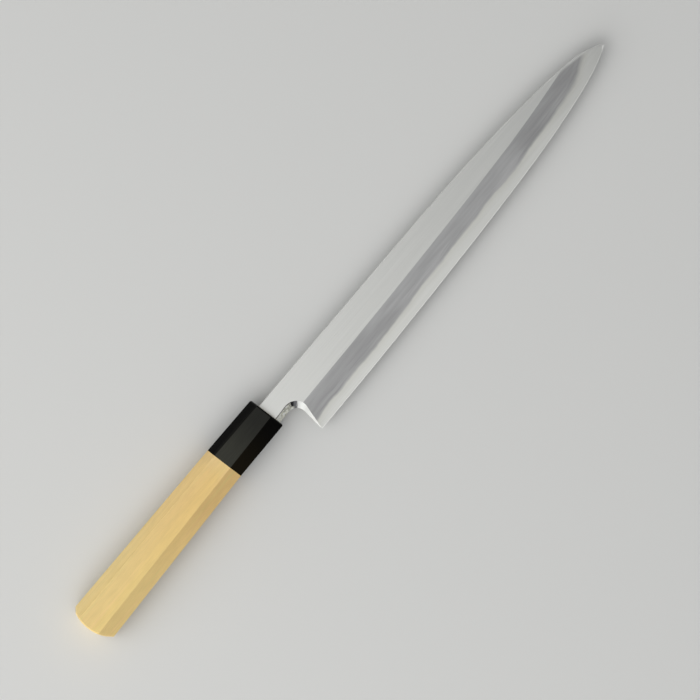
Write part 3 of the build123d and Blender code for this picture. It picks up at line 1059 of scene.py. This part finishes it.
    def sleeve_group(self, horn: bpy.types.Material) -> bpy.types.NodeTree:
        """Make the node tree that lofts the sleeve from its sections.

        Args:
            horn: The material of every face.

        Returns:
            The node tree.
        """
        group = bpy.data.node_groups.new("horn_sleeve", "GeometryNodeTree")
        group.interface.new_socket("Geometry", in_out="INPUT", socket_type="NodeSocketGeometry")
        ends = [f"{end} {name}" for end in ("Front", "Joint") for name in Section.NAMES]
        for name in (*ends, "Ridge Easing", "Rim Easing", "Rim Ridge Easing", "Length", "Front Bore",
                     "Rear Bore"):
            group.interface.new_socket(name, in_out="INPUT", socket_type="NodeSocketFloat")
        for name in ("Front Middle", "Joint Middle", "Across"):
            group.interface.new_socket(name, in_out="INPUT", socket_type="NodeSocketVector")
        group.interface.new_socket("Geometry", in_out="OUTPUT", socket_type="NodeSocketGeometry")
        tree = Tree(group)
        sizes = tree.add("NodeGroupInput").outputs
        section = self.section_group()

        def drawn(end: str, inset: Value, easing: Value) -> Socket:
            """Draw the section at one end.

            Args:
                end: Front or Joint, as the sizes' names start.
                inset: How far its sides are drawn in.
                easing: The radius of its ridges.

            Returns:
                The section's closed line.
            """
            inputs = {name: sizes[f"{end} {name}"] for name in Section.NAMES}
            inputs.update({"Inset": inset, "Easing": easing})
            return tree.result("GeometryNodeGroup", inputs, node_tree=section)

        outlines = (
            drawn("Front", 0.0, sizes["Ridge Easing"]),
            drawn("Front", sizes["Rim Easing"], sizes["Rim Ridge Easing"]),
            drawn("Joint", 0.0, sizes["Ridge Easing"]),
        )
        wrapped = self.wrap(tree, sizes, outlines)
        closed = tree.result("GeometryNodeMergeByDistance", {"Geometry": wrapped, "Distance": self.merging})
        smooth = tree.result("GeometryNodeSetShadeSmooth", {"Geometry": closed, "Shade Smooth": True})
        real = tree.result("GeometryNodeRealizeInstances", {"Geometry": smooth})
        painted = tree.result("GeometryNodeSetMaterial", {"Geometry": real, "Material": horn})
        tree.add("NodeGroupOutput", {"Geometry": painted})
        return group

    def build(self) -> bpy.types.Object:
        """Loft the sleeve in its place.

        Returns:
            The finished piece, a plain mesh with its place in its mesh.
        """
        back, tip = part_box(Part.STEEL.value)
        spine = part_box(Part.IRON.value)[1]
        # The ferrule's front at the spine, level with the middle of the blade
        origin = Vector((tip.x - self.blade_length, spine.y, back.z + self.blade_thickness / 2))
        slope = math.tan(self.lean)
        joint_x = slope * self.joint.drop - self.length
        values = {
            **self.front.inputs("Front"),
            **self.joint.inputs("Joint"),
            "Ridge Easing": self.ridge_easing,
            "Rim Easing": self.front_easing,
            "Rim Ridge Easing": self.front_ridge_easing,
            "Length": self.length,
            "Front Bore": self.front_bore_diameter,
            "Rear Bore": self.rear_bore_diameter,
            "Front Middle": origin + Vector((slope * self.front.drop, -self.front.drop, 0.0)),
            "Joint Middle": origin + Vector((joint_x, -self.joint.drop, 0.0)),
            "Across": Vector((math.sin(self.lean), -math.cos(self.lean), 0.0)),
        }
        group = self.sleeve_group(self.finish.material("polished_horn"))
        piece = plain_mesh("ferrule_sleeve", group, values)
        piece.data.set_sharp_from_angle(angle=self.smooth_angle)
        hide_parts(Part.FERRULE.value)
        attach(piece, BODY)
        LOG.info("%s lofted, %d faces", piece.name, len(piece.data.polygons))
        return piece


@dataclass
class Handle:
    """The wooden grip with its ferrule, and the filling that seals the tang's mortise."""

    ferrule: Ferrule = field(default_factory=Ferrule)
    wood: WoodFinish = field(default_factory=WoodFinish)
    resin: ResinFinish = field(default_factory=ResinFinish)

    def build(self) -> None:
        """Loft the ferrule and dress the grip and the seal."""
        self.ferrule.build()
        paint(Part.GRIP, self.wood.material("magnolia_wood"))
        paint(Part.SEAL, self.resin.material("tang_filling"))


@dataclass
class Studio:
    """Camera, lamps, world and floor."""

    picture_right: Vector = field(default_factory=lambda: Vector((0.64873, -0.76102, 0.0)))
    picture_up: Vector = field(default_factory=lambda: Vector((0.76102, 0.64873, 0.0)))
    picture_width: float = 378.0 * MM
    picture_middle: Vector = field(default_factory=lambda: Vector((-4.74, -3.62, 10.0)) * MM)
    lens: float = 600.0
    sensor: float = 36.0
    view_depth: float = 40.0
    key_place: Vector = field(default_factory=lambda: Vector((-1.0, 0.30, 0.90)))
    key_size: tuple[float, float] = (2.1, 2.1)
    key_power: float = 14.2
    top_place: Vector = field(default_factory=lambda: Vector((-0.78, -0.25, 2.00)))
    top_size: tuple[float, float] = (1.8, 2.8)
    top_power: float = 12.5
    lamp_colour: Colour = (1.0, 0.995, 0.975)
    world_colour: Colour = (0.985, 1.0, 1.01)
    horizon: float = 0.18
    zenith: float = 0.42
    sky_heights: Span = (0.3, 0.95)
    window: float = 1.20
    window_way: Vector = field(default_factory=lambda: Vector((-0.98, -0.05, 0.16)))
    window_rim: Span = (0.70, 0.97)
    floor_size: float = 60.0
    floor_colour: Colour = (0.68, 0.68, 0.67)
    floor_roughness: float = 0.9
    floor_specular_level: float = 0.2

    def camera(self) -> None:
        """Set the camera straight above the knife, turned as in the picture."""
        data = bpy.data.cameras.new("camera")
        data.lens = self.lens
        data.sensor_width = self.sensor
        data.clip_end = self.view_depth
        camera = added("camera", data)
        turned = Matrix((self.picture_right, self.picture_up, Vector((0, 0, 1)))).transposed().to_4x4()
        distance = self.picture_width * self.lens / self.sensor
        turned.translation = self.picture_middle + Vector((0, 0, distance))
        camera.matrix_world = turned
        bpy.context.scene.camera = camera

    def lamp(self, name: str, place: Vector, size: tuple[float, float], power: float) -> None:
        """Hang one rectangular lamp that looks at the knife.

        Args:
            name: The lamp's name.
            place: Where its middle hangs.
            size: Its length along the knife and across it.
            power: Its power in watts.
        """
        data = bpy.data.lights.new(name, "AREA")
        data.shape = "RECTANGLE"
        data.size, data.size_y = size
        data.energy = power
        data.color = self.lamp_colour
        lamp = added(name, data)
        behind = place.normalized()
        side = Vector((0, 1, 0)).cross(behind).normalized()
        turned = Matrix((side, behind.cross(side), behind)).transposed().to_4x4()
        turned.translation = place
        lamp.matrix_world = turned

    def world(self) -> None:
        """Make a pale surrounding, brighter overhead and on the butt's side."""
        world = bpy.data.worlds.new("studio")
        world.use_nodes = True
        bpy.context.scene.world = world
        tree = Tree(world.node_tree)
        way = tree.vector("NORMALIZE", tree.add("ShaderNodeTexCoord").outputs["Generated"])
        height = tree.split(way)[2]
        level = tree.spread(tree.step(height, *self.sky_heights), self.horizon, self.zenith)
        facing = tree.vector("DOT_PRODUCT", way, self.window_way.normalized())
        glow = tree.calc("MULTIPLY", tree.step(facing, *self.window_rim), self.window)
        background = world.node_tree.nodes["Background"]
        tree.feed(background.inputs["Strength"], tree.calc("ADD", level, glow))
        tree.feed(background.inputs["Color"], self.world_colour)

    def floor(self) -> None:
        """Lay a wide pale floor under the knife."""
        half = self.floor_size / 2
        corners = [(-half, -half, 0), (half, -half, 0), (half, half, 0), (-half, half, 0)]
        mesh = bpy.data.meshes.new("floor")
        mesh.from_pydata(corners, [], [(0, 1, 2, 3)])
        material = bpy.data.materials.new("floor_paper")
        material.use_nodes = True
        shader = material.node_tree.nodes["Principled BSDF"]
        shader.inputs["Base Color"].default_value = (*self.floor_colour, 1.0)
        shader.inputs["Roughness"].default_value = self.floor_roughness
        shader.inputs["Specular IOR Level"].default_value = self.floor_specular_level
        mesh.materials.append(material)
        added("floor", mesh)

    def build(self) -> None:
        """Set up the whole studio."""
        self.camera()
        self.lamp("key_lamp", self.key_place, self.key_size, self.key_power)
        self.lamp("top_lamp", self.top_place, self.top_size, self.top_power)
        self.world()
        self.floor()
        bpy.context.scene.view_settings.view_transform = "Standard"
        LOG.info("studio ready")


def from_heel(line: Line) -> list[Point]:
    """Keep the part of a line from its lowest point on, which is at the heel."""
    heel_x, heel_y = min(line, key=lambda point: point[1])
    return [(x, y) for x, y in line if x >= heel_x]


def added(name: str, data: bpy.types.ID) -> bpy.types.Object:
    """Add an object to the scene.

    Args:
        name: The object's name.
        data: Its mesh, camera or lamp.

    Returns:
        The new object, at the origin.
    """
    new = bpy.data.objects.new(name, data)
    bpy.context.scene.collection.objects.link(new)
    return new


def paint(part: Part, material: bpy.types.Material) -> None:
    """Give a carried-over piece its one material.

    Args:
        part: The piece.
        material: The material for all its faces.
    """
    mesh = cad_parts[part.value].data
    mesh.materials.clear()
    mesh.materials.append(material)
    LOG.info("%s dressed in %s", part.value, material.name)


def plain_mesh(name: str, group: bpy.types.NodeTree, values: dict[str, Value]) -> bpy.types.Object:
    """Run a geometry node tree and keep what it makes as a plain mesh.

    Args:
        name: The new piece's name.
        group: The node tree.
        values: What its named inputs get.

    Returns:
        The new object, at the origin, with no modifier left.
    """
    piece = added(name, bpy.data.meshes.new(name))
    modifier = piece.modifiers.new(name, "NODES")
    modifier.node_group = group
    for item in group.interface.items_tree:
        if item.in_out == "INPUT" and item.name in values:
            modifier[item.identifier] = values[item.name]
    bpy.context.view_layer.update()
    evaluated = piece.evaluated_get(bpy.context.evaluated_depsgraph_get())
    mesh = bpy.data.meshes.new_from_object(evaluated)
    piece.modifiers.clear()
    piece.data = mesh
    mesh.name = name
    return piece


def main() -> None:
    """Build the knife and its studio."""
    logging.basicConfig(level=logging.INFO, format="%(name)s: %(message)s")
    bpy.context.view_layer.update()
    Studio().build()
    Blade().dress()
    Handle().build()
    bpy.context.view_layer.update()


if __name__ == "__main__":
    main()
